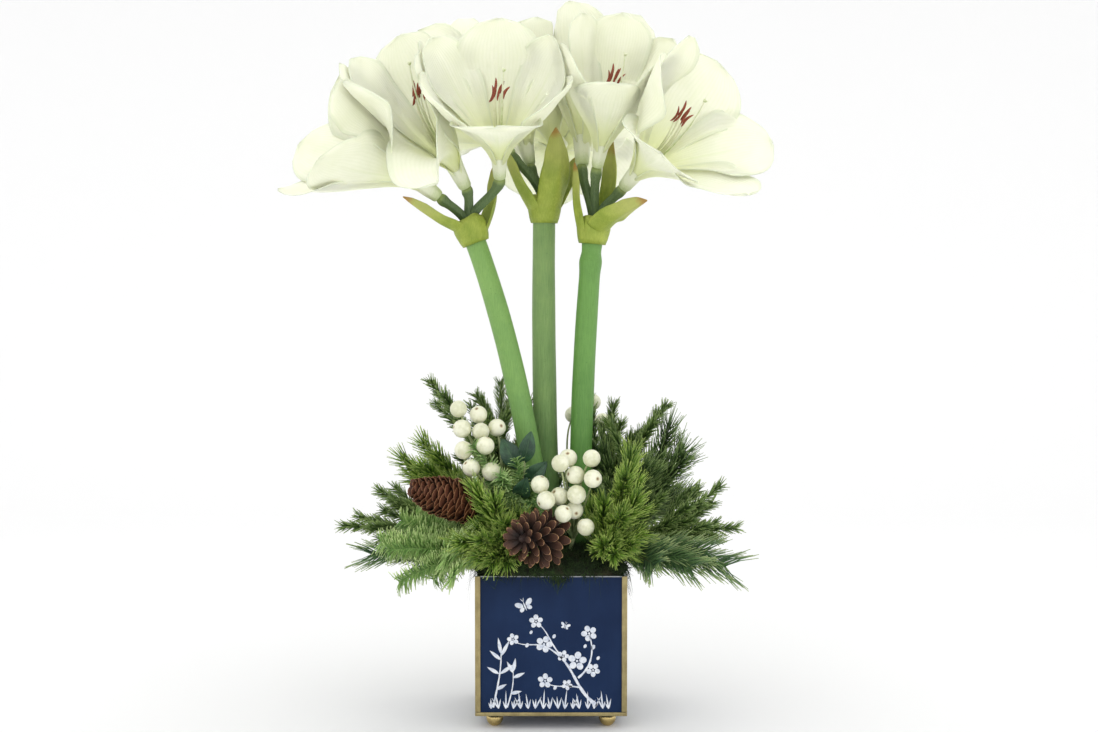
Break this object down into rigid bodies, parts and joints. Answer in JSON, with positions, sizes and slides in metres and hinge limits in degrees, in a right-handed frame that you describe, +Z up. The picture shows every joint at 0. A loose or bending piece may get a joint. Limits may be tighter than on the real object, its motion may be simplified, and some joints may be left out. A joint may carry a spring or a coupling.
{
  "type": "potted amaryllis arrangement",
  "caption": "Artificial amaryllis: white funnel blooms on thick stems, ringed by evergreen sprays, cones and berries, standing in a square metal planter on ball feet.",
  "frame": {"origin": "middle of the arrangement's footprint, on the plane that the feet stand on", "axes": "+Z up along the stems, -Y towards the side with the open cone, +X to that side's right"},
  "size_m": [0.4836, 0.3602, 0.7372],
  "materials": {
    "navy_paint": "satin navy paint",
    "gold_metal": "satin gold",
    "foam": "dry floral foam",
    "moss": "dark dyed moss",
    "scape": "satin green",
    "spathe": "papery yellow-green",
    "pedicel": "satin dark green",
    "petal": "matt ivory cloth",
    "stamen": "matt dark red",
    "cone": "dry woody scales",
    "berry": "satin cream",
    "leaf": "satin dark green",
    "needles_fir": "matt dark green",
    "needles_pine": "matt bright green",
    "needles_sprig": "matt green",
    "needles_frost": "matt mint green"
  },
  "bodies": {
    "root": {"planter_body": "navy_paint", "corner_strip_back_left": "gold_metal", "corner_strip_back_right": "gold_metal", "corner_strip_front_left": "gold_metal", "corner_strip_front_right": "gold_metal", "foot_back_left": "gold_metal", "foot_back_right": "gold_metal", "foot_front_left": "gold_metal", "foot_front_right": "gold_metal", "base_band": "gold_metal", "foam_block": "foam", "moss_bed": "moss", "scape_centre": "scape", "scape_left": "scape", "scape_right": "scape", "spathe_centre": "spathe", "spathe_left": "spathe", "spathe_right": "spathe", "pedicels_centre": "pedicel", "pedicels_left": "pedicel", "pedicels_right": "pedicel", "bloom_centre_back": "petal", "bloom_centre_left": "petal", "bloom_centre_up": "petal", "bloom_left_front": "petal", "bloom_left_out": "petal", "bloom_left_up": "petal", "bloom_right_back": "petal", "bloom_right_front": "petal", "bloom_right_out": "petal", "stamens_centre_back": "stamen", "stamens_centre_left": "stamen", "stamens_centre_up": "stamen", "stamens_left_front": "stamen", "stamens_left_out": "stamen", "stamens_left_up": "stamen", "stamens_right_back": "stamen", "stamens_right_front": "stamen", "stamens_right_out": "stamen", "cone_long": "cone", "cone_open": "cone", "berries_back": "berry", "berries_front": "berry", "berries_left": "berry", "leaf_sprig": "leaf", "evergreen_back_left": "needles_frost", "evergreen_back_middle": "needles_fir", "evergreen_back_right": "needles_pine", "evergreen_front_frost": "needles_frost", "evergreen_front_left": "needles_pine", "evergreen_front_right": "needles_pine", "evergreen_left_frost": "needles_frost", "evergreen_left_high": "needles_pine", "evergreen_left_low": "needles_fir", "evergreen_left_sprig": "needles_sprig", "evergreen_left_tall": "needles_sprig", "evergreen_right_high": "needles_fir", "evergreen_right_low": "needles_fir", "evergreen_right_sprig": "needles_sprig", "evergreen_right_tall": "needles_sprig"}
  },
  "joints": []
}
